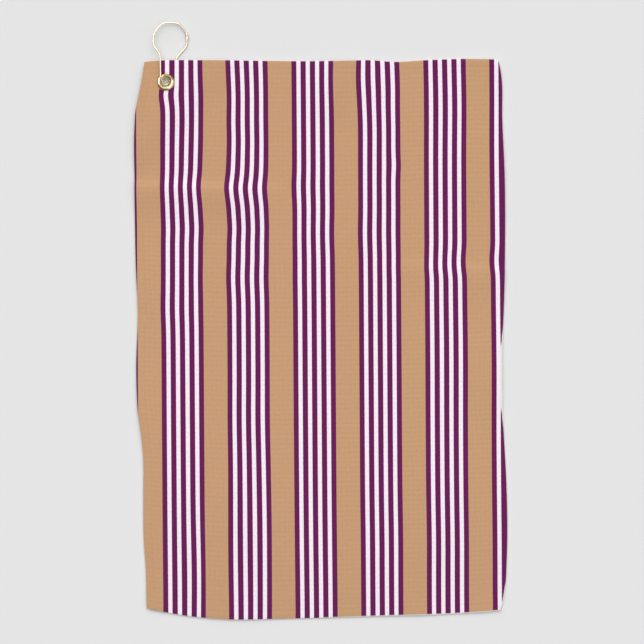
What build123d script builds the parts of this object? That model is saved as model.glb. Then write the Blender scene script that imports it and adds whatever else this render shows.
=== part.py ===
from build123d import *
import os

# A golf towel lying on its back: +X to the right of the towel, +Y towards its top edge,
# +Z up out of its printed face. The origin is under the middle of the whole object.

# ---- driving dimensions, mm ----
CLOTH_THICKNESS = 2.0
HEM_WIDTH = 10.0
HEM_THICKNESS = 1.0
SEAM_INSET = 8.0          # from the towel's edge to the hem seam
THREAD_WIDTH = 0.6
THREAD_SUNK = 0.3         # how deep the thread is pulled into the cloth
THREAD_PROUD = 0.1

GROMMET_X, GROMMET_Y = -169.4, 259.8
CORNER_LIFT = 3.5         # the corner round the grommet rides up over the hook's back leg
LIFT_REACH = 20.0         # flat raised cloth from the grommet towards the towel's middle
LIFT_RAMP = 44.0          # length of the slope from the raised corner down to the flat cloth

BORE_RADIUS = 4.75
BARREL_RADIUS = 5.35
FLANGE_RADIUS = 9.5
CROWN_RADIUS = 7.3        # where the rolled flange is highest
FLANGE_HEIGHT = 1.3
LIP_RADIUS = 6.9
LIP_THICKNESS = 0.4
WASHER_THICKNESS = 0.8
WASHER_EDGE = 0.4

WIRE_RADIUS = 1.0
HOOK_LEAN = -5.6          # degrees that the hook leans about the grommet, clockwise
GAP = 0.3                 # running clearance round the gate's pivot
KEEPER_RADIUS = 1.9
KEEPER_SLEEVE = 1.9       # the part of the keeper that is crimped on the wire
KEEPER_LIP = 4.2          # the open part that the gate's tip rests in
KEEPER_BORE = 1.4

# ---- the towel's outline, laid flat with slightly pulled edges ----
TOP_LEFT, TOP_RIGHT = (-193.2, 282.9), (194.2, 285.4)
BOTTOM_RIGHT, BOTTOM_LEFT = (196.8, -316.8), (-190.9, -315.0)
TOP_EDGE = [(-175.0, 284.1), (-129.0, 284.5), (-60.0, 284.0), (30.0, 283.9), (78.0, 283.0),
            (115.0, 284.8), (158.0, 286.2)]
RIGHT_EDGE = [(197.4, 268.0), (198.6, 220.0), (201.1, 160.0), (201.4, 60.0), (200.2, 10.0),
              (198.0, -40.0), (198.4, -90.0), (200.6, -130.0), (203.2, -180.0), (203.4, -262.0),
              (201.2, -296.0)]
BOTTOM_EDGE = [(165.0, -319.4), (60.0, -323.2), (-40.0, -326.0), (-110.0, -326.4), (-150.0, -322.4),
               (-170.0, -318.9)]
LEFT_EDGE = [(-191.7, -275.0), (-194.2, -235.0), (-194.5, -190.0), (-194.8, -150.0), (-200.4, -105.0),
             (-202.4, -50.0), (-200.6, 10.0), (-202.8, 65.0), (-204.0, 150.0), (-204.0, 212.0),
             (-202.7, 232.0), (-198.9, 250.0)]

# ---- the hook's wire: (across the hook, along it from the grommet's centre, height) ----
LATCH_Z = 1.95
FRONT_Z = 8.2             # the front leg rides over the rolled flange
BACK_Z = 1.0              # the back leg lies on the surface under the towel
WIRE_END = (17.65, 53.6, LATCH_Z)
WIRE_BENDS = [            # a corner of the wire and its bend radius
    ((16.9, 56.6, LATCH_Z), 3.0),
    ((7.4, 66.9, 3.4), 9.0),
    ((-9.6, 65.7, 5.0), 14.0),
    ((-19.6, 50.5, 6.6), 14.0),
    ((-17.4, 39.2, 7.7), 12.0),
    ((-8.6, 28.8, FRONT_Z), 8.0),
    ((-5.8, 4.4, FRONT_Z), 4.0),
    ((-2.1, -2.0, 5.9), 3.0),
    ((2.1, -2.0, 3.3), 4.0),
    ((3.9, 1.8, BACK_Z), 4.0),
]
NECK = (9.3, 28.4, BACK_Z)
GATE_SHOULDER, SHOULDER_RADIUS = (19.1, 42.6, 1.5), 6.0
GATE_TIP = (18.0, 51.6, LATCH_Z)

FAR = 700.0               # longer than anything in the towel
CLOTH_TOP = CORNER_LIFT + CLOTH_THICKNESS


def upright(face):
    """An upright block with the outline of a face, taller than the towel above and below."""
    return Pos(0, 0, -HEM_WIDTH) * extrude(face, 3 * HEM_WIDTH, dir=(0, 0, 1))


def outline(inset):
    """The towel's outline as a face, each edge moved inwards by inset."""
    def moved(point, x, y):
        return (point[0] + x * inset, point[1] + y * inset)

    corners = [
        moved(TOP_LEFT, 1, -1),
        moved(TOP_RIGHT, -1, -1),
        moved(BOTTOM_RIGHT, -1, 1),
        moved(BOTTOM_LEFT, 1, 1),
    ]
    edges = [
        [moved(p, 0, -1) for p in TOP_EDGE],
        [moved(p, -1, 0) for p in RIGHT_EDGE],
        [moved(p, 0, 1) for p in BOTTOM_EDGE],
        [moved(p, 1, 0) for p in LEFT_EDGE],
    ]
    sides = [
        Spline(corners[i], *edges[i], corners[(i + 1) % 4])
        for i in range(4)
    ]
    return make_face(sides)


def column(inset):
    """An upright block with the towel's outline."""
    return upright(outline(inset))


def layer(low, high):
    """A layer of cloth between two heights, which rises by CORNER_LIFT towards the grommet's corner."""
    flat_end = -LIFT_REACH - LIFT_RAMP
    middle = -LIFT_REACH - LIFT_RAMP / 2

    def rise(z):
        top = z + CORNER_LIFT
        upward = TangentArc((flat_end, z), (middle, z + CORNER_LIFT / 2), tangent=(1, 0))
        level = TangentArc(upward @ 1, (-LIFT_REACH, top), tangent=upward % 1)
        return [
            Line((-FAR, z), upward @ 0),
            upward,
            level,
            Line(level @ 1, (FAR, top)),
        ]

    ends = [
        Line((-FAR, low), (-FAR, high)),
        Line((FAR, low + CORNER_LIFT), (FAR, high + CORNER_LIFT)),
    ]
    profile = make_face(rise(low) + rise(high) + ends)
    to_corner = Vector(-1, 1, 0).normalized()
    across = Plane((GROMMET_X, GROMMET_Y, 0), x_dir=to_corner, z_dir=to_corner.cross(Vector(0, 0, 1)))
    return across * extrude(profile, FAR, both=True)


def grommet_ring(profile):
    """A round part of the grommet from its profile of radius and height."""
    return Pos(GROMMET_X, GROMMET_Y, 0) * revolve(Plane.XZ * profile, Axis.Z)


def in_hook(part):
    """Moves a part from the hook's own frame to its place on the towel."""
    return Pos(GROMMET_X, GROMMET_Y, 0) * Rot(0, 0, HOOK_LEAN) * part


def wire(points, radii):
    """A round wire along straight runs joined by arcs, and its length."""
    path = FilletPolyline(*points, radius=radii)
    section = Plane(path @ 0, z_dir=path % 0) * Circle(WIRE_RADIUS)
    return sweep(section, path=path), path.length


def make_towel_cloth(needle_seam):
    """The woven panel: full thickness in the middle, and half of it over the turned hems."""
    face_layer = layer(HEM_THICKNESS, CLOTH_THICKNESS) & column(0)
    back_layer = layer(0, HEM_THICKNESS) & column(HEM_WIDTH)
    hole = Pos(GROMMET_X, GROMMET_Y, 0) * Cylinder(BARREL_RADIUS, 4 * CLOTH_TOP)
    return face_layer + back_layer - hole - needle_seam


def make_hems(bobbin_seam):
    """The four turned strips under the panel's edges, mitred at the corners."""
    turned = (layer(0, HEM_THICKNESS) & (column(0) - column(HEM_WIDTH))) - bobbin_seam
    corners = [(TOP_LEFT, 1, -1), (TOP_RIGHT, -1, -1), (BOTTOM_RIGHT, -1, 1), (BOTTOM_LEFT, 1, 1)]
    reach = 3 * HEM_WIDTH
    outer = [(p[0] - x * reach, p[1] - y * reach) for p, x, y in corners]
    inner = [(p[0] + x * reach, p[1] + y * reach) for p, x, y in corners]
    names = ["top_hem", "right_hem", "bottom_hem", "left_hem"]
    hems = {}
    for i, name in enumerate(names):
        j = (i + 1) % 4
        mitred = make_face(Polyline(outer[i], outer[j], inner[j], inner[i], close=True))
        hems[name] = turned & upright(mitred)
    return hems


def seam(low, high):
    """A line of thread round the whole towel."""
    return (layer(low, high) & column(SEAM_INSET)) - column(SEAM_INSET + THREAD_WIDTH)


def make_eyelet():
    """The front flange, rolled from the same brass as the barrel, with its lip turned out behind."""
    washer_back = CORNER_LIFT - WASHER_THICKNESS
    lip_back = washer_back - LIP_THICKNESS
    crown = (CROWN_RADIUS, CLOTH_TOP + FLANGE_HEIGHT)
    throat = (BORE_RADIUS, crown[1] - (CROWN_RADIUS - BORE_RADIUS))
    rim = (FLANGE_RADIUS, CLOTH_TOP)
    back = Polyline(
        rim,
        (BARREL_RADIUS, CLOTH_TOP),
        (BARREL_RADIUS, washer_back),
        (LIP_RADIUS, washer_back),
        (LIP_RADIUS - LIP_THICKNESS / 2, lip_back),
        (BORE_RADIUS + LIP_THICKNESS, lip_back),
        (BORE_RADIUS, lip_back + LIP_THICKNESS),
        throat,
    )
    roll = [TangentArc(crown, rim, tangent=(1, 0)), TangentArc(crown, throat, tangent=(-1, 0))]
    return grommet_ring(make_face([back] + roll))


def make_washer():
    back = CORNER_LIFT - WASHER_THICKNESS
    profile = Polyline(
        (BARREL_RADIUS, CORNER_LIFT),
        (FLANGE_RADIUS, CORNER_LIFT),
        (FLANGE_RADIUS, CORNER_LIFT - WASHER_EDGE),
        (FLANGE_RADIUS - WASHER_EDGE, back),
        (BARREL_RADIUS, back),
        close=True,
    )
    return grommet_ring(make_face(profile))


def make_hook_wire():
    """The fixed arm: from the keeper over the top, down the front leg, through the grommet to the neck."""
    points = [WIRE_END] + [corner for corner, _ in WIRE_BENDS] + [NECK]
    bent, length = wire(points, [radius for _, radius in WIRE_BENDS])
    print("hook wire", round(length, 1), "mm long, volume", round(bent.volume, 1))
    return in_hook(bent + Pos(*NECK) * Sphere(WIRE_RADIUS))


def make_keeper():
    """A crimped sleeve on the wire's end, with a lip below it that is open towards the loop for the gate's tip."""
    up = (Vector(*WIRE_BENDS[0][0]) - Vector(*WIRE_END)).normalized()
    end = Plane(WIRE_END, x_dir=Vector(0, 0, 1), z_dir=up)
    outer_half = Pos(0, KEEPER_RADIUS, 0) * Rectangle(2 * KEEPER_RADIUS, 2 * KEEPER_RADIUS)
    sleeve = extrude(end * (Circle(KEEPER_RADIUS) - Circle(WIRE_RADIUS)), KEEPER_SLEEVE)
    lip = extrude(end * ((Circle(KEEPER_RADIUS) - Circle(KEEPER_BORE)) & outer_half), -KEEPER_LIP)
    return in_hook(sleeve + lip)


def make_gate():
    """The springy arm from the neck to the keeper."""
    arm, length = wire([NECK, GATE_SHOULDER, GATE_TIP], [SHOULDER_RADIUS])
    print("gate arm", round(length, 1), "mm long, volume", round(arm.volume, 1))
    return in_hook(arm - Pos(*NECK) * Sphere(WIRE_RADIUS + GAP))


def main():
    needle_seam = seam(CLOTH_THICKNESS - THREAD_SUNK, CLOTH_THICKNESS + THREAD_PROUD)
    bobbin_seam = seam(0, THREAD_SUNK)
    nodes = {
        "towel_cloth": make_towel_cloth(needle_seam),
        **make_hems(bobbin_seam),
        "hem_needle_thread": needle_seam,
        "hem_bobbin_thread": bobbin_seam,
        "grommet_eyelet": make_eyelet(),
        "grommet_washer": make_washer(),
        "hook_wire": make_hook_wire(),
        "latch_keeper": make_keeper(),
        "hook_gate_arm": make_gate(),
    }
    os.makedirs("parts", exist_ok=True)
    for name, part in nodes.items():
        export_step(part, "parts/" + name + ".step")


main()
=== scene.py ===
import math

import bpy
import numpy as np
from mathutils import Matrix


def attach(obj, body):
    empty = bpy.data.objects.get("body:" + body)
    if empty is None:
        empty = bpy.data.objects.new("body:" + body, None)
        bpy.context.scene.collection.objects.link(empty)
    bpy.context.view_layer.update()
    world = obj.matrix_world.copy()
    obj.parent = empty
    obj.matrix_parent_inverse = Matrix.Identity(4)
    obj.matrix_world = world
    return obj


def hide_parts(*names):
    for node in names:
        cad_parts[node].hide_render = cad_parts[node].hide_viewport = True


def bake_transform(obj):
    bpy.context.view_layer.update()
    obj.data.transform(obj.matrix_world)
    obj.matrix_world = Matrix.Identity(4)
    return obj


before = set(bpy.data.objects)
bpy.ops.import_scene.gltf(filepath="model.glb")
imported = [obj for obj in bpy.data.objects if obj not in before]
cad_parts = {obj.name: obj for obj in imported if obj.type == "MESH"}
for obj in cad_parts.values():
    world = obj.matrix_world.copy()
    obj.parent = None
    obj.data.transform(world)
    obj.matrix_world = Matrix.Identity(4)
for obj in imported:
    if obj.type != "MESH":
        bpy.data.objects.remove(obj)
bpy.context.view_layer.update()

# A golf towel laid flat, printed face up. Lengths are in millimetres until a mesh is made.
MM = 0.001

# ---- the cloth ----
CUT_WIDTH, CUT_LENGTH = 406.4, 609.6
CLOTH_THICKNESS = 2.0
HEM_WIDTH = 10.0
SEAM_INSET = 8.3
CORNER_ROUNDING = 0.5       # how far each corner is pulled in, both ways
WEAVE_PITCH = 5.3
WEAVE_DEPTH = 0.30
PANEL_EDGE = (0.0, 0.3, 0.8)        # lines of the panel's rounded edge, as distances from the towel's edge
WEAVE_START = 1.7

TOP_LEFT, TOP_RIGHT = (-193.2, 282.9), (194.2, 285.4)
BOTTOM_RIGHT, BOTTOM_LEFT = (196.8, -316.8), (-190.9, -315.0)
TOP_EDGE = [TOP_LEFT, (-175.0, 284.1), (-129.0, 284.5), (-60.0, 284.0), (8.0, 283.6), (30.0, 284.0),
            (52.0, 284.7), (80.0, 282.9), (115.0, 284.8), (158.0, 286.2), TOP_RIGHT]
RIGHT_EDGE = [BOTTOM_RIGHT, (201.2, -296.0), (203.4, -262.0), (203.2, -180.0), (200.6, -130.0),
              (198.4, -90.0), (198.0, -40.0), (200.2, 10.0), (201.4, 60.0), (201.1, 160.0),
              (198.6, 220.0), (197.4, 268.0), TOP_RIGHT]
BOTTOM_EDGE = [BOTTOM_LEFT, (-170.0, -318.9), (-150.0, -322.4), (-110.0, -326.4), (-40.0, -326.0),
               (60.0, -323.2), (165.0, -319.4), BOTTOM_RIGHT]
LEFT_EDGE = [BOTTOM_LEFT, (-191.7, -275.0), (-194.2, -235.0), (-194.5, -190.0), (-194.7, -148.0),
             (-197.3, -122.0), (-199.9, -104.0), (-202.2, -58.0), (-200.6, 10.0), (-202.8, 65.0),
             (-204.0, 150.0), (-203.9, 212.0), (-202.5, 231.0), (-200.3, 242.0), (-197.4, 256.0),
             (-195.2, 268.0), TOP_LEFT]

# ---- the grommet and the raised corner round it ----
GROMMET = (-169.4, 259.8)
CORNER_LIFT = 3.5
LIFT_REACH = 20.0
LIFT_RAMP = 44.0
HOLE_RADIUS = 7.0           # the cloth's hole, under the grommet's flange
FLANGE_RADIUS = 9.5

# ---- the hook's wire: (across the hook, along it from the grommet's centre, height), bend radius ----
HOOK_LEAN = math.radians(-5.6)
WIRE_RADIUS = 1.0
WIRE_END = (17.65, 53.6, 1.95)
WIRE_BENDS = [
    ((16.9, 56.6, 1.95), 3.0),
    ((7.6, 65.7, 3.4), 9.0),
    ((-10.4, 64.7, 5.0), 13.0),
    ((-18.1, 50.2, 6.6), 14.0),
    ((-17.4, 39.2, 7.7), 12.0),
    ((-8.6, 28.8, 8.2), 8.0),
    ((-5.8, 4.4, 8.2), 4.0),
    ((-2.1, -2.0, 5.9), 3.0),
    ((2.1, -2.0, 3.3), 4.0),
    ((3.9, 1.8, 1.0), 4.0),
]
NECK = (9.3, 28.4, 1.0)
NECK_BEND = 6.0
NECK_BACK = 0.25            # the gate's piece starts this share of the back leg before the neck
GATE_SHOULDER, SHOULDER_BEND = (19.1, 42.6, 1.5), 6.0
GATE_TIP = (18.0, 51.6, 1.95)

KEEPER_RADIUS, KEEPER_BORE = 1.9, 1.4
KEEPER_SLEEVE, KEEPER_LIP = 1.9, 4.2

# ---- the print: vertical stripes, as widths across the flat towel ----
TAN_START, TAN_WIDTH = 2.2, 26.0
STRIPE_WIDTH, STRIPES_IN_GROUP = 5.16, 9
INK_SPREAD = 0.34           # how far the purple ink has crept into the white on either side
REPEAT = TAN_WIDTH + STRIPE_WIDTH * STRIPES_IN_GROUP
PRINT_MIDDLE = CUT_WIDTH / 2 + 0.45
PRINT_STRETCH, PRINT_LEAN = 0.0066, 0.0067


def srgb(red, green, blue):
    """A colour given as 0 to 255 sRGB, as the linear values that a shader takes."""
    def linear(value):
        share = value / 255
        return share / 12.92 if share <= 0.04045 else ((share + 0.055) / 1.055) ** 2.4
    return (linear(red), linear(green), linear(blue), 1.0)


TAN = srgb(203, 159, 121)
PURPLE = srgb(107, 27, 87)
WHITE = srgb(252, 241, 251)
BACK_WHITE = srgb(236, 233, 230)
THREAD_WHITE = srgb(240, 238, 234)
# the colour of the dark reflection painted into the eyelet's two crescents
PAINTED_DARK_REFLECTION = srgb(112, 88, 30)


# ---------------------------------------------------------------- camera, light and floor

def add_camera():
    """Straight above the towel, at the distance where the frame is 703 mm wide."""
    data = bpy.data.cameras.new("camera")
    data.sensor_width = 36.0
    data.lens = 128.0
    data.clip_end = 20.0
    camera = bpy.data.objects.new("camera", data)
    camera.location = (1.2 * MM, -1.6 * MM, 2.502)
    bpy.context.scene.collection.objects.link(camera)
    bpy.context.scene.camera = camera


def add_soft_light(name, lean_x, lean_y, share, softness):
    """A distant soft light. Leans are degrees off straight above; share is its part of the floor's light."""
    data = bpy.data.lights.new(name, "SUN")
    data.angle = math.radians(softness)
    light = bpy.data.objects.new(name, data)
    turn_x, turn_y = math.radians(-lean_y), math.radians(lean_x)
    light.rotation_euler = (turn_x, turn_y, 0.0)
    data.energy = share * math.pi / (math.cos(turn_x) * math.cos(turn_y))
    bpy.context.scene.collection.objects.link(light)


def add_world(strength, backdrop):
    """An even studio sky of the given strength, seen past the floor as a pale backdrop."""
    world = bpy.data.worlds.new("studio")
    world.use_nodes = True
    tree = world.node_tree
    background = tree.nodes["Background"]
    background.inputs["Color"].default_value = (1.0, 1.0, 1.0, 1.0)
    path = tree.nodes.new("ShaderNodeLightPath")
    brightness = tree.nodes.new("ShaderNodeMapRange")
    brightness.inputs["To Min"].default_value = strength
    brightness.inputs["To Max"].default_value = backdrop
    tree.links.new(path.outputs["Is Camera Ray"], brightness.inputs["Value"])
    tree.links.new(brightness.outputs["Result"], background.inputs["Strength"])
    bpy.context.scene.world = world


def add_floor():
    half = 4.0
    mesh = bpy.data.meshes.new("floor")
    corners = [(-half, -half, 0), (half, -half, 0), (half, half, 0), (-half, half, 0)]
    mesh.from_pydata(corners, [], [(0, 1, 2, 3)])
    floor = bpy.data.objects.new("floor", mesh)
    floor.location.z = -0.05 * MM
    bpy.context.scene.collection.objects.link(floor)
    paint = Shader("floor_paint")
    paint.set("Base Color", srgb(229, 229, 229))
    paint.set("Roughness", 0.9)
    paint.set("Specular IOR Level", 0.1)
    mesh.materials.append(paint.material)


# ---------------------------------------------------------------- shader building

class Shader:
    """A material with one Principled shader, and short ways to add the nodes that feed it."""

    def __init__(self, name):
        self.material = bpy.data.materials.new(name)
        self.material.use_nodes = True
        self.tree = self.material.node_tree
        self.main = self.tree.nodes["Principled BSDF"]

    def set(self, socket, value):
        self.main.inputs[socket].default_value = value

    def link(self, source, socket):
        self.tree.links.new(source, self.main.inputs[socket])

    def node(self, kind, inputs=(), **settings):
        """Adds a node, sets its settings, and feeds each input from a socket or a constant."""
        made = self.tree.nodes.new(kind)
        for key, value in settings.items():
            setattr(made, key, value)
        for key, value in dict(inputs).items():
            if isinstance(value, bpy.types.NodeSocket):
                self.tree.links.new(value, made.inputs[key])
            else:
                made.inputs[key].default_value = value
        return made

    def math(self, operation, first, second=0.0):
        return self.node("ShaderNodeMath", {0: first, 1: second}, operation=operation).outputs[0]

    def attribute(self, name, output):
        return self.node("ShaderNodeAttribute", attribute_name=name).outputs[output]

    def ramp(self, value, low, high, start=0.0, end=1.0):
        """Maps low..high smoothly to start..end."""
        made = self.node(
            "ShaderNodeMapRange",
            {"Value": value, "From Min": low, "From Max": high, "To Min": start, "To Max": end},
            interpolation_type="SMOOTHSTEP",
        )
        return made.outputs["Result"]

    def noise(self, vector, scale, detail=2.0):
        return self.node(
            "ShaderNodeTexNoise", {"Vector": vector, "Scale": scale, "Detail": detail}
        ).outputs["Fac"]

    def mix(self, share, first, second):
        made = self.node("ShaderNodeMix", data_type="RGBA", blend_type="MIX")
        for socket, value in ((0, share), (6, first), (7, second)):
            if isinstance(value, bpy.types.NodeSocket):
                self.tree.links.new(value, made.inputs[socket])
            else:
                made.inputs[socket].default_value = value
        return made.outputs[2]

    def bump(self, height, distance, strength=1.0):
        made = self.node("ShaderNodeBump", {"Height": height, "Distance": distance, "Strength": strength})
        self.link(made.outputs["Normal"], "Normal")


def weave_height(shader, flat):
    """The height of the yarns, from the cloth's flat place in millimetres: fine loops over waffle cells."""
    split = shader.node("ShaderNodeSeparateXYZ", {0: flat})
    yarn = 2 * math.pi / (WEAVE_PITCH / 7)
    across = shader.math("SINE", shader.math("MULTIPLY", split.outputs[0], yarn))
    along = shader.math("SINE", shader.math("MULTIPLY", split.outputs[1], yarn))
    loops = shader.math("MULTIPLY", across, along)
    fuzz = shader.noise(flat, 1.6, 3.0)
    return shader.math("ADD", shader.math("MULTIPLY", loops, 0.5), fuzz)


def cloth_base(name):
    shader = Shader(name)
    flat = shader.attribute("flat", "Vector")
    shader.set("Roughness", 0.95)
    shader.set("Specular IOR Level", 0.15)
    shader.set("Sheen Weight", 0.12)
    shader.set("Sheen Roughness", 0.5)
    shader.bump(weave_height(shader, flat), 0.12 * MM, 0.7)
    return shader, flat


def printed_cloth():
    """Tan bands between groups of purple and white stripes, printed on white waffle cloth."""
    shader, flat = cloth_base("printed_waffle_cloth")
    place = shader.attribute("print_x", "Fac")
    bleed = shader.math("SUBTRACT", shader.noise(flat, 1.1, 2.0), 0.5)
    place = shader.math("ADD", place, shader.math("MULTIPLY", bleed, 0.2))
    in_repeat = shader.math("FLOORED_MODULO", shader.math("SUBTRACT", place, TAN_START), REPEAT)
    from_middle = shader.math("ABSOLUTE", shader.math("SUBTRACT", in_repeat, TAN_WIDTH / 2))
    soft_edge = 0.18
    is_tan = shader.ramp(from_middle, TAN_WIDTH / 2 - soft_edge, TAN_WIDTH / 2 + soft_edge, 1.0, 0.0)
    in_group = shader.math("SUBTRACT", in_repeat, TAN_WIDTH)
    wave = shader.math("SINE", shader.math("MULTIPLY", in_group, math.pi / STRIPE_WIDTH))
    crept = -math.sin(math.pi * INK_SPREAD / STRIPE_WIDTH)
    is_purple = shader.ramp(wave, crept - 0.1, crept + 0.1)
    stripes = shader.mix(is_purple, WHITE, PURPLE)
    ink = shader.mix(is_tan, stripes, TAN)
    # painted shade: the print is darkened a little in the waffle's hollows and left full on its ridges
    cell = shader.attribute("relief", "Fac")
    shade = shader.ramp(cell, 0.0, 1.0, 0.975, 1.0)
    mottle = shader.ramp(shader.noise(flat, 0.35, 3.0), 0.3, 0.7, 0.98, 1.01)
    # painted shade: the print grows a little darker over the last 200 mm towards the bottom end
    along = shader.node("ShaderNodeSeparateXYZ", {0: flat}).outputs[1]
    painted_shade_toward_bottom = shader.ramp(along, 0.0, 200.0, 0.968, 1.0)
    # both painted shades, times the cloth's random mottle
    painted_shade_and_mottle = shader.math("MULTIPLY", shader.math("MULTIPLY", shade, mottle), painted_shade_toward_bottom)
    toned = shader.node("ShaderNodeVectorMath", {0: ink, "Scale": painted_shade_and_mottle}, operation="SCALE").outputs[0]
    on_face = shader.attribute("on_face", "Fac")
    shader.link(shader.mix(on_face, BACK_WHITE, toned), "Base Color")
    return shader.material


def plain_cloth(name, colour):
    """The white unprinted cloth of the back and the hems."""
    shader, flat = cloth_base(name)
    mottle = shader.ramp(shader.noise(flat, 0.5, 3.0), 0.3, 0.7, 0.95, 1.02)
    toned = shader.node("ShaderNodeVectorMath", {0: colour[:3], "Scale": mottle}, operation="SCALE")
    shader.link(toned.outputs[0], "Base Color")
    return shader.material


def painted_reflection_crescents(shader):
    """1 in the two crescents on the eyelet's flange, where a dark reflection is painted into the brass's
    colour.
    """
    world = shader.node("ShaderNodeNewGeometry").outputs["Position"]
    axis = (GROMMET[0] * MM, GROMMET[1] * MM, 0.0)
    from_axis = shader.node("ShaderNodeVectorMath", {0: world, 1: axis}, operation="SUBTRACT").outputs[0]
    level = shader.node("ShaderNodeVectorMath", {0: from_axis, 1: (1, 1, 0)}, operation="MULTIPLY").outputs[0]
    radius = shader.node("ShaderNodeVectorMath", {0: level}, operation="LENGTH").outputs["Value"]
    across = shader.node("ShaderNodeVectorMath", {0: level, 1: (0.42, 0.91, 0)}, operation="DOT_PRODUCT")
    toward = shader.math("ABSOLUTE", shader.math("DIVIDE", across.outputs["Value"], radius))
    ring = shader.math(
        "MULTIPLY", shader.ramp(radius, 5.9 * MM, 6.7 * MM), shader.ramp(radius, 8.3 * MM, 9.1 * MM, 1.0, 0.0)
    )
    return shader.math("MULTIPLY", ring, shader.ramp(toward, 0.5, 0.85, 0.0, 0.85))


def metal(name, colour, tint, roughness, painted_reflection=None):
    """Polished brass or gold: a faint tarnish in patches and fine scratches, and any painted dark reflection
    asked for.
    """
    shader = Shader(name)
    place = shader.node("ShaderNodeTexCoord").outputs["Object"]
    patches = shader.noise(place, 220.0, 3.0)
    coat = shader.mix(shader.ramp(patches, 0.45, 0.75, 0.0, 0.5), colour, tint)
    if painted_reflection:
        # paints the dark reflection into the colour where asked
        coat = shader.mix(painted_reflection(shader), coat, PAINTED_DARK_REFLECTION)
    shader.link(coat, "Base Color")
    shader.set("Metallic", 1.0)
    wear = shader.noise(place, 700.0, 2.0)
    shader.link(shader.ramp(wear, 0.3, 0.7, roughness * 0.75, roughness * 1.4), "Roughness")
    shader.bump(shader.noise(place, 1400.0, 2.0), 0.01 * MM, 0.25)
    return shader.material


# ---------------------------------------------------------------- the cloth's shape

def smooth_line(points, shares):
    """Places at these shares of the length of a smooth line through the points."""
    points = np.array(points, float)
    reach = np.linalg.norm(np.diff(points, axis=0), axis=1)
    slopes = np.gradient(points, np.concatenate([[0], np.cumsum(reach)]), axis=0)
    t = (np.arange(1, 25) / 24)[:, None]
    dense = [points[:1]]
    for i, span in enumerate(reach):
        dense.append(
            (2 * t**3 - 3 * t**2 + 1) * points[i] + (t**3 - 2 * t**2 + t) * slopes[i] * span
            + (3 * t**2 - 2 * t**3) * points[i + 1] + (t**3 - t**2) * slopes[i + 1] * span
        )
    dense = np.concatenate(dense)
    along = np.concatenate([[0], np.cumsum(np.linalg.norm(np.diff(dense, axis=0), axis=1))])
    return np.stack([np.interp(shares * along[-1], along, dense[:, k]) for k in range(2)], axis=-1)


def plan(flat_x, flat_y):
    """Where a point of the flat cut towel lies on the floor, from its four edges."""
    u, v = flat_x / CUT_WIDTH, flat_y / CUT_LENGTH
    bottom, top = smooth_line(BOTTOM_EDGE, u), smooth_line(TOP_EDGE, u)
    left, right = smooth_line(LEFT_EDGE, v), smooth_line(RIGHT_EDGE, v)
    u, v = u[..., None], v[..., None]
    corners = (
        (1 - u) * (1 - v) * np.array(BOTTOM_LEFT) + u * (1 - v) * np.array(BOTTOM_RIGHT)
        + (1 - u) * v * np.array(TOP_LEFT) + u * v * np.array(TOP_RIGHT)
    )
    place = (1 - v) * bottom + v * top + (1 - u) * left + u * right - corners
    to_side = np.minimum(flat_x, CUT_WIDTH - flat_x)
    to_end = np.minimum(flat_y, CUT_LENGTH - flat_y)
    pull = CORNER_ROUNDING * np.exp(-((to_side + to_end) / 5) ** 2)[..., None]
    return place - pull * np.sign(np.concatenate([u - 0.5, v - 0.5], axis=-1))


def smoothstep(value, low, high):
    t = np.clip((value - low) / (high - low), 0, 1)
    return t * t * (3 - 2 * t)


def hump(place, middle, radius, height):
    """A soft round rise."""
    away = ((place - np.array(middle)) ** 2).sum(-1) / radius**2
    return height * np.exp(-away)


def ridge(place, start, end, left, right, height, fade):
    """A soft crease from one place to another, with a width for each side, that dies out before its end."""
    start, end = np.array(start, float), np.array(end, float)
    length = np.linalg.norm(end - start)
    along_line = (end - start) / length
    from_start = place - start
    along = from_start @ along_line
    off = from_start @ np.array([-along_line[1], along_line[0]])
    width = np.where(off > 0, left, right)
    return height * np.exp(-((off / width) ** 2)) * (1 - smoothstep(along, length - fade, length))


HUMPS = [                   # where the cloth stands off the floor: middle, radius, height
    ((203.0, -327.0), 28.0, 1.2),
    ((174.0, -328.0), 22.0, 1.2),
    ((-195.0, -322.0), 30.0, 1.2),
    ((199.0, 290.0), 34.0, 1.6),
    ((-205.0, -96.0), 46.0, 1.4),
    ((200.0, -62.0), 44.0, 2.4),
    ((26.0, 288.0), 38.0, 1.2),
    ((108.0, -331.0), 20.0, 1.0),
    ((-100.0, -329.0), 46.0, 0.6),
    ((-206.0, 40.0), 40.0, 1.2),
    ((205.0, 170.0), 50.0, 1.2),
]
CREASES = [                 # from, to, width to the left and to the right of that line, height, fade
    ((-206.0, 145.0), (-30.0, 140.0), 7.0, 26.0, 3.4, 60.0),
    ((206.0, 51.0), (40.0, 61.0), 26.0, 7.0, 1.9, 100.0),
    ((23.0, 290.0), (19.0, 200.0), 12.0, 30.0, 2.8, 60.0),
]


def lift(place):
    """How high the cloth's back is above the floor: the raised corner, the creases and soft waves."""
    to_corner = np.array([-1.0, 1.0]) / math.sqrt(2)
    t = np.clip(((place - np.array(GROMMET)) @ to_corner + LIFT_REACH + LIFT_RAMP) / LIFT_RAMP, 0, 1)
    height = CORNER_LIFT * np.where(t < 0.5, 2 * t**2, 1 - 2 * (1 - t) ** 2)
    for middle, radius, rise in HUMPS:
        height = height + hump(place, middle, radius, rise)
    for start, end, left, right, rise, fade in CREASES:
        height = height + ridge(place, start, end, left, right, rise, fade)
    x, y = place[..., 0], place[..., 1]
    wave = (1 + np.sin(x / 31.0 + y / 83.0) * np.sin(y / 47.0 - x / 140.0)) * 0.35
    return height + wave * (1 - t)


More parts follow.
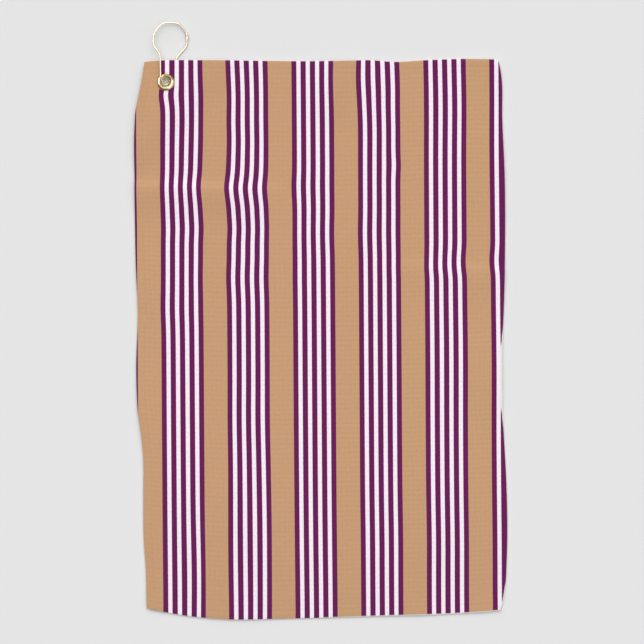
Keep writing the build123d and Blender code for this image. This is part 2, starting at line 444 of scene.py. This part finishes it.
PRINT_BENDS = [             # where the stripes swerve: middle, half-size across and along, how far
    ((-95.0, 147.0), (62.0, 14.0), 2.6),
    ((-130.0, 242.0), (50.0, 26.0), -1.4),
    ((-112.0, 196.0), (48.0, 18.0), -0.8),
    ((38.0, 262.0), (28.0, 26.0), 1.8),
    ((150.0, 236.0), (46.0, 42.0), -0.8),
    ((-112.0, 101.0), (62.0, 13.0), -0.9),
    ((24.0, 95.0), (54.0, 20.0), 0.7),
    ((170.0, 68.0), (48.0, 11.0), 1.2),
    ((-90.0, 46.0), (50.0, 18.0), 0.9),
    ((-175.0, 14.0), (40.0, 20.0), 0.7),
    ((168.0, -30.0), (50.0, 60.0), -0.5),
    ((-58.0, -230.0), (22.0, 75.0), -1.0),
    ((-108.0, -272.0), (22.0, 70.0), 0.8),
    ((112.0, -240.0), (85.0, 40.0), -0.5),
    ((-172.0, 245.0), (18.0, 10.0), 1.7),
    ((-134.0, -272.0), (14.0, 50.0), -1.0),
    ((186.0, 200.0), (16.0, 70.0), 0.6),
    ((84.0, 170.0), (14.0, 12.0), -0.7),
    ((-150.0, 286.0), (32.0, 24.0), -1.0),
    ((-80.0, 288.0), (28.0, 18.0), 0.5),
    ((66.0, 288.0), (34.0, 12.0), 0.7),
    ((66.0, 252.0), (34.0, 14.0), -0.4),
    ((66.0, 204.0), (34.0, 26.0), -0.4),
    ((-150.0, 216.0), (32.0, 16.0), -0.6),
    ((-80.0, 153.0), (34.0, 9.0), -0.6),
    ((-100.0, 132.0), (60.0, 8.0), 0.4),
    ((150.0, 57.0), (60.0, 8.0), 0.7),
    ((-80.0, -108.0), (32.0, 34.0), 0.5),
    ((-40.0, -314.0), (150.0, 56.0), -0.5),
]
PRINT_END = 405.4           # the last stripe runs on to the right edge


BARE_EDGES = [              # where the right edge shows its unprinted fold: middle, half-length, width
    (-62.0, 42.0, 2.2),
    (-306.0, 18.0, 0.9),
]


def on_face(place, inside):
    """1 where the cloth is printed, which is nearly up to its edges."""
    bare = 0.0
    for middle, half_length, width in BARE_EDGES:
        bare = bare + width * np.exp(-(((place[..., 1] - middle) / half_length) ** 4)) * (place[..., 0] > 0)
    return smoothstep(inside, bare + 0.15, bare + 0.75)


def print_x(place):
    """How far across the print, in millimetres, each place on the towel is. It was printed after the
    hems were sewn, so it runs nearly straight whatever the edges do."""
    x, y = place[..., 0], place[..., 1]
    across = x * (1 + PRINT_STRETCH) + y * PRINT_LEAN + PRINT_MIDDLE
    for (middle_x, middle_y), (half_x, half_y), shift in PRINT_BENDS:
        away = ((x - middle_x) / half_x) ** 2 + ((y - middle_y) / half_y) ** 2
        across = across + shift * np.exp(-away)
    return np.minimum(across, PRINT_END)


# ---------------------------------------------------------------- mesh making

def new_piece(name, vertices_mm, faces, material):
    mesh = bpy.data.meshes.new(name)
    mesh.from_pydata((np.asarray(vertices_mm) * MM).tolist(), [], faces)
    mesh.polygons.foreach_set("use_smooth", [True] * len(mesh.polygons))
    mesh.materials.append(material)
    piece = bpy.data.objects.new(name, mesh)
    bpy.context.scene.collection.objects.link(piece)
    return piece


def store(piece, name, values):
    """Keeps one number, or one vector, for each vertex."""
    values = np.asarray(values, np.float32)
    if values.ndim == 1:
        piece.data.attributes.new(name, "FLOAT", "POINT").data.foreach_set("value", values)
    else:
        piece.data.attributes.new(name, "FLOAT_VECTOR", "POINT").data.foreach_set("vector", values.ravel())


def grid_faces(rows, columns):
    """The quads of a grid whose vertices are numbered row by row."""
    i, j = np.meshgrid(np.arange(rows - 1), np.arange(columns - 1), indexing="ij")
    first = (i * columns + j).ravel()
    return np.stack([first, first + 1, first + columns + 1, first + columns], axis=1)


def tube_faces(rings, sides, first=0, closed=False):
    """The faces between rings of points numbered ring by ring: capped at both ends, or closed on itself."""
    faces = []
    for i in range(rings if closed else rings - 1):
        here, there = first + i * sides, first + (i + 1) % rings * sides
        for j in range(sides):
            k = (j + 1) % sides
            faces.append([here + j, here + k, there + k, there + j])
    if not closed:
        last = first + (rings - 1) * sides
        faces.append(list(range(first, first + sides))[::-1])
        faces.append(list(range(last, last + sides)))
    return faces


def raised(places, heights):
    """Points in a row, from their places on the floor and their heights above it."""
    heights = np.broadcast_to(heights, places.shape[:-1])
    return np.concatenate([places, heights[..., None]], axis=-1).reshape(-1, 3)


def edge_distance(flat):
    """How far each flat point is inside the towel's nearest edge."""
    x, y = flat[..., 0], flat[..., 1]
    return np.minimum(np.minimum(x, CUT_WIDTH - x), np.minimum(y, CUT_LENGTH - y))


def weave_lines(length):
    """Where the grid's lines run and the kind of each: the panel's edge, then three lines for each
    waffle cell, of which kind 0 is the face's ridge and kind 1 the back's."""
    cells = round((length - 2 * WEAVE_START) / WEAVE_PITCH)
    weave = np.linspace(WEAVE_START, length - WEAVE_START, 3 * cells + 1)
    edge = np.array(PANEL_EDGE)
    lines = np.concatenate([edge, weave, length - edge[::-1]])
    plain = [3] * len(edge)
    kinds = np.concatenate([plain, np.arange(len(weave)) % 3, plain])
    return lines, kinds


def sheet_faces(quads, count):
    """A face and a back layer, whose points follow the face's, joined by a rim along every open edge."""
    edges = np.concatenate([quads[:, [k, (k + 1) % 4]] for k in range(4)])
    keys = np.sort(edges, axis=1) @ np.array([count, 1])
    _, first, uses = np.unique(keys, return_index=True, return_counts=True)
    border = edges[first[uses == 1]]
    rim = np.stack([border[:, 1], border[:, 0], border[:, 0] + count, border[:, 1] + count], axis=1)
    return np.concatenate([quads, quads[:, ::-1] + count, rim])


def make_cloth():
    """The woven panel: a face and a back, each with its waffle relief, closed at the edges and the hole."""
    xs, kind_x = weave_lines(CUT_WIDTH)
    ys, kind_y = weave_lines(CUT_LENGTH)
    flat = np.stack(np.meshgrid(xs, ys), axis=-1)
    place = plan(flat[..., 0], flat[..., 1])
    inside = edge_distance(flat)
    from_grommet = np.linalg.norm(place - np.array(GROMMET), axis=-1)

    seam = np.exp(-(((inside - SEAM_INSET) / 1.3) ** 2))
    hem = 1 - smoothstep(inside, HEM_WIDTH, HEM_WIDTH + 2.5)
    rounding = 0.75 * np.clip(1 - inside / 1.3, 0, 1) ** 2
    loose = smoothstep(from_grommet, FLANGE_RADIUS + 0.5, FLANGE_RADIUS + 3.5)
    loose = loose * smoothstep(inside, WEAVE_START, 3.5) * (1 - 0.7 * seam)
    face_ridge = np.maximum(0.7 * (kind_x == 0)[None, :], (kind_y == 0)[:, None]) * loose
    back_ridge = np.maximum(0.7 * (kind_x == 1)[None, :], (kind_y == 1)[:, None]) * loose
    base = lift(place)
    face_z = base + CLOTH_THICKNESS - WEAVE_DEPTH * (1 - face_ridge) + 0.2 * hem - 0.25 * seam - rounding
    back_z = base + 0.05 + WEAVE_DEPTH * (1 - back_ridge) * (1 - hem) + 1.0 * hem

    quads = grid_faces(len(ys), len(xs))
    quads = quads[from_grommet.ravel()[quads].min(axis=1) > HOLE_RADIUS - 1.5]
    count = inside.size
    faces = sheet_faces(quads, count)
    points = np.concatenate([raised(place, face_z), raised(place, back_z)])
    used = np.unique(faces)
    number = np.full(2 * count, -1)
    number[used] = np.arange(len(used))
    cloth = new_piece("waffle_cloth", points[used], number[faces].tolist(), PRINTED)

    def both(face_values, back_values):
        return np.concatenate([face_values.ravel(), back_values.ravel()])[used]

    store(cloth, "print_x", both(print_x(place), print_x(place)))
    store(cloth, "relief", both(face_ridge, back_ridge))
    store(cloth, "on_face", both(on_face(place, inside), np.zeros(inside.shape)))
    store(cloth, "flat", np.concatenate([raised(flat, 0.0), raised(flat, 0.0)])[used])
    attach(cloth, "towel")
    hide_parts("towel_cloth")
    return cloth


def hem_section():
    """The hem's section from its edge inwards: (distance inside the towel's edge, height)."""
    fold = [
        (0.9 - 0.9 * math.cos(angle), 1.02 - 1.02 * math.sin(angle))
        for angle in np.linspace(0, math.pi / 2, 7)
    ]
    under = [(3.0, 0.0), (5.0, 0.02), (8.0, 0.06), (HEM_WIDTH - 0.3, 0.08)]
    strip = [(HEM_WIDTH, 0.5), (HEM_WIDTH - 0.4, 0.95), (8.0, 0.9), (5.0, 0.98), (2.0, 1.02)]
    return fold + under + strip


def make_hem(name, node, along_x, far_side):
    """One edge's cloth, folded over the panel's edge and laid flat under it, mitred at both ends."""
    section = np.array(hem_section())
    length = CUT_WIDTH if along_x else CUT_LENGTH
    across = CUT_LENGTH if along_x else CUT_WIDTH
    shares = np.linspace(0, 1, round(length / 2.7))
    inset = section[:, 0]
    along = inset[None, :] + (length - 2 * inset[None, :]) * shares[:, None]
    off = np.broadcast_to(across - inset if far_side else inset, along.shape)
    flat = np.stack([along, off] if along_x else [off, along], axis=-1)
    place = plan(flat[..., 0], flat[..., 1])
    points = raised(place, lift(place) + section[:, 1])
    faces = tube_faces(len(shares), len(section))
    if along_x == far_side:
        faces = [face[::-1] for face in faces]
    hem = new_piece(name, points, faces, HEM_CLOTH)
    store(hem, "flat", raised(flat, 0.0))
    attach(hem, "towel")
    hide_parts(node)
    return hem


def seam_places():
    """Flat places and directions of the stitches, once round the towel."""
    pitch = 3.2
    places, directions = [], []
    low, high_x, high_y = SEAM_INSET, CUT_WIDTH - SEAM_INSET, CUT_LENGTH - SEAM_INSET
    corners = np.array([(low, low), (high_x, low), (high_x, high_y), (low, high_y)])
    for i in range(4):
        start, end = corners[i], corners[(i + 1) % 4]
        count = round(np.linalg.norm(end - start) / pitch)
        shares = (np.arange(count) + 0.5) / count
        places.append(start + (end - start) * shares[:, None])
        directions.append(np.broadcast_to((end - start) / np.linalg.norm(end - start), (count, 2)))
    return np.concatenate(places), np.concatenate(directions)


def make_stitches(name, node, material, height):
    """Lock stitches as short spindles of thread, each sunk a little at its ends."""
    half_length, radius, rings, sides = 1.35, 0.24, 7, 8
    flat, direction = seam_places()
    t = np.linspace(-1, 1, rings)
    angle = np.arange(sides) * 2 * math.pi / sides
    swell = radius * np.sqrt(np.clip(1 - t**4, 0.02, 1))
    side = np.stack([-direction[:, 1], direction[:, 0]], axis=1)
    along = flat[:, None, None, :] + direction[:, None, None, :] * (t * half_length)[None, :, None, None]
    off = np.cos(angle)[None, None, :] * swell[None, :, None]
    spread = along + side[:, None, None, :] * off[..., None]
    place = plan(spread[..., 0], spread[..., 1])
    sink = 0.12 * (t**2)[None, :, None] * np.sign(height - 1)
    up = np.sin(angle)[None, None, :] * swell[None, :, None] - sink
    middle = plan(along[..., 0], along[..., 1])
    points = raised(place, lift(middle) + height + up)
    faces = []
    for k in range(len(flat)):
        faces += tube_faces(rings, sides, k * rings * sides)
    stitches = new_piece(name, points, faces, material)
    store(stitches, "print_x", print_x(place).ravel())
    store(stitches, "relief", np.ones(place[..., 0].size))
    store(stitches, "on_face", np.ones(place[..., 0].size))
    store(stitches, "flat", raised(spread, 0.0))
    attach(stitches, "towel")
    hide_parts(node)
    return stitches


# ---------------------------------------------------------------- the hook

def bent_path(points, radii):
    """A line of straight runs whose corners are rounded by arcs of these radii, as closely spaced points."""
    points = [np.array(p, float) for p in points]
    path = [points[0]]
    for i, radius in enumerate(radii, start=1):
        corner = points[i]
        back = points[i - 1] - corner
        ahead = points[i + 1] - corner
        back, ahead = back / np.linalg.norm(back), ahead / np.linalg.norm(ahead)
        half_angle = math.acos(np.clip(back @ ahead, -1, 1)) / 2
        tangent = radius / math.tan(half_angle)
        bisector = (back + ahead) / np.linalg.norm(back + ahead)
        centre = corner + bisector * radius / math.sin(half_angle)
        start, end = corner + back * tangent, corner + ahead * tangent
        turn = math.pi - 2 * half_angle
        steps = max(4, round(turn / math.radians(6)))
        for k in range(steps + 1):
            share = k / steps
            out = (start - centre) * math.sin((1 - share) * turn) + (end - centre) * math.sin(share * turn)
            path.append(centre + out / math.sin(turn))
    path.append(points[-1])
    return np.array(path)


def in_hook(points):
    """From the hook's own frame to its place on the towel."""
    cos, sin = math.cos(HOOK_LEAN), math.sin(HOOK_LEAN)
    x = GROMMET[0] + points[:, 0] * cos - points[:, 1] * sin
    y = GROMMET[1] + points[:, 0] * sin + points[:, 1] * cos
    return np.stack([x, y, points[:, 2]], axis=1)


def make_wire(name, path, round_end):
    """A round wire along a path, with flat ends, the last one rounded if asked."""
    sides = 28
    tangent = np.gradient(path, axis=0)
    tangent /= np.linalg.norm(tangent, axis=1)[:, None]
    radii = np.full(len(path), WIRE_RADIUS)
    if round_end:
        lean = np.linspace(0.2, 1, 6) * math.pi / 2
        cap = path[-1] + tangent[-1] * (WIRE_RADIUS * np.sin(lean))[:, None] * 0.8
        path = np.concatenate([path, cap])
        tangent = np.concatenate([tangent, np.repeat(tangent[-1:], len(cap), axis=0)])
        radii = np.concatenate([radii, WIRE_RADIUS * np.cos(lean) + 0.02])
    normal = np.cross(tangent[0], (0, 0, 1.0))
    rings = []
    for point, direction, radius in zip(path, tangent, radii):
        normal = normal - direction * (normal @ direction)
        normal = normal / np.linalg.norm(normal)
        other = np.cross(direction, normal)
        angle = np.arange(sides)[:, None] * 2 * math.pi / sides
        rings.append(point + radius * (np.cos(angle) * normal + np.sin(angle) * other))
    return new_piece(name, in_hook(np.concatenate(rings)), tube_faces(len(rings), sides), GOLD)


def make_hook():
    """The fixed wire, and the gate arm, drawn with its bend at the neck, where the real gate is a spring."""
    bends = [corner for corner, _ in WIRE_BENDS]
    radii = [radius for _, radius in WIRE_BENDS]
    neck, last = np.array(NECK), np.array(bends[-1])
    gate_root = neck + (last - neck) * NECK_BACK
    fixed = make_wire("hook_wire_bent", bent_path([WIRE_END] + bends + [gate_root], radii), False)
    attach(fixed, "hook")
    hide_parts("hook_wire")

    gate_path = bent_path([gate_root, NECK, GATE_SHOULDER, GATE_TIP], [NECK_BEND, SHOULDER_BEND])
    gate = make_wire("hook_gate_wire", gate_path, True)
    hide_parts("hook_gate_arm")
    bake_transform(gate)


def turned(profile, start, end, steps):
    """A profile of (radius, height) turned about its axis from one angle to another, as points and faces."""
    full = end - start >= 2 * math.pi
    angles = np.linspace(start, end, steps, endpoint=not full)
    radius, height = np.array(profile).T
    level = np.stack([np.cos(angles)[:, None] * radius, np.sin(angles)[:, None] * radius], axis=-1)
    return raised(level, height), tube_faces(steps, len(profile), closed=full)


def make_keeper():
    """The sleeve crimped on the wire's end, and below it the lip for the gate's tip, open to the loop."""
    outer, bore, edge = KEEPER_RADIUS, KEEPER_BORE, 0.2
    sleeve_profile = [
        (WIRE_RADIUS, KEEPER_SLEEVE), (outer - edge, KEEPER_SLEEVE), (outer, KEEPER_SLEEVE - edge),
        (outer, edge), (outer - edge, 0), (WIRE_RADIUS, 0),
    ]
    lip_profile = [
        (bore, 0), (outer, 0), (outer, edge - KEEPER_LIP), (outer - edge, -KEEPER_LIP), (bore, -KEEPER_LIP),
    ]
    points, faces = turned(sleeve_profile, 0, 2 * math.pi, 32)
    lip_points, lip_faces = turned(lip_profile, -math.pi / 2, math.pi / 2, 17)
    faces += [[k + len(points) for k in face] for face in lip_faces]
    points = np.concatenate([points, lip_points])

    end = np.array(WIRE_END)
    up = np.array(WIRE_BENDS[0][0]) - end
    up = up / np.linalg.norm(up)
    outward = np.cross(up, (0.0, 0.0, 1.0))
    outward = outward / np.linalg.norm(outward)
    sideways = np.cross(up, outward)
    placed = end + points[:, :1] * outward + points[:, 1:2] * sideways + points[:, 2:] * up
    keeper = new_piece("keeper_turned", in_hook(placed), faces, GOLD)
    keeper.data.set_sharp_from_angle(angle=math.radians(30))
    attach(keeper, "hook")
    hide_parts("latch_keeper")


# ---------------------------------------------------------------- putting it together

bpy.context.scene.view_settings.view_transform = "Standard"
add_camera()
add_world(0.20, 0.78)
add_soft_light("key", -12.0, 38.0, 0.45, 75.0)
add_soft_light("fill", 20.0, 2.0, 0.35, 100.0)
add_floor()

PRINTED = printed_cloth()
HEM_CLOTH = plain_cloth("unprinted_cloth", BACK_WHITE)
THREAD = plain_cloth("white_thread", THREAD_WHITE)
# the brass gets a painted dark reflection in two crescents round its hole
BRASS = metal("polished_brass", srgb(246, 228, 186), srgb(226, 196, 136), 0.13, painted_reflection_crescents)
GOLD = metal("pale_gold", srgb(250, 238, 214), srgb(238, 218, 180), 0.2)

cloth = make_cloth()
hems = [
    make_hem("top_hem_fold", "top_hem", True, True),
    make_hem("bottom_hem_fold", "bottom_hem", True, False),
    make_hem("left_hem_fold", "left_hem", False, False),
    make_hem("right_hem_fold", "right_hem", False, True),
]
needle = make_stitches("needle_stitches", "hem_needle_thread", PRINTED, 1.72)
bobbin = make_stitches("bobbin_stitches", "hem_bobbin_thread", THREAD, 0.2)

for node in ("grommet_eyelet", "grommet_washer"):
    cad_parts[node].data.materials.clear()
    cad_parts[node].data.materials.append(BRASS)
make_hook()
make_keeper()

bpy.context.view_layer.update()
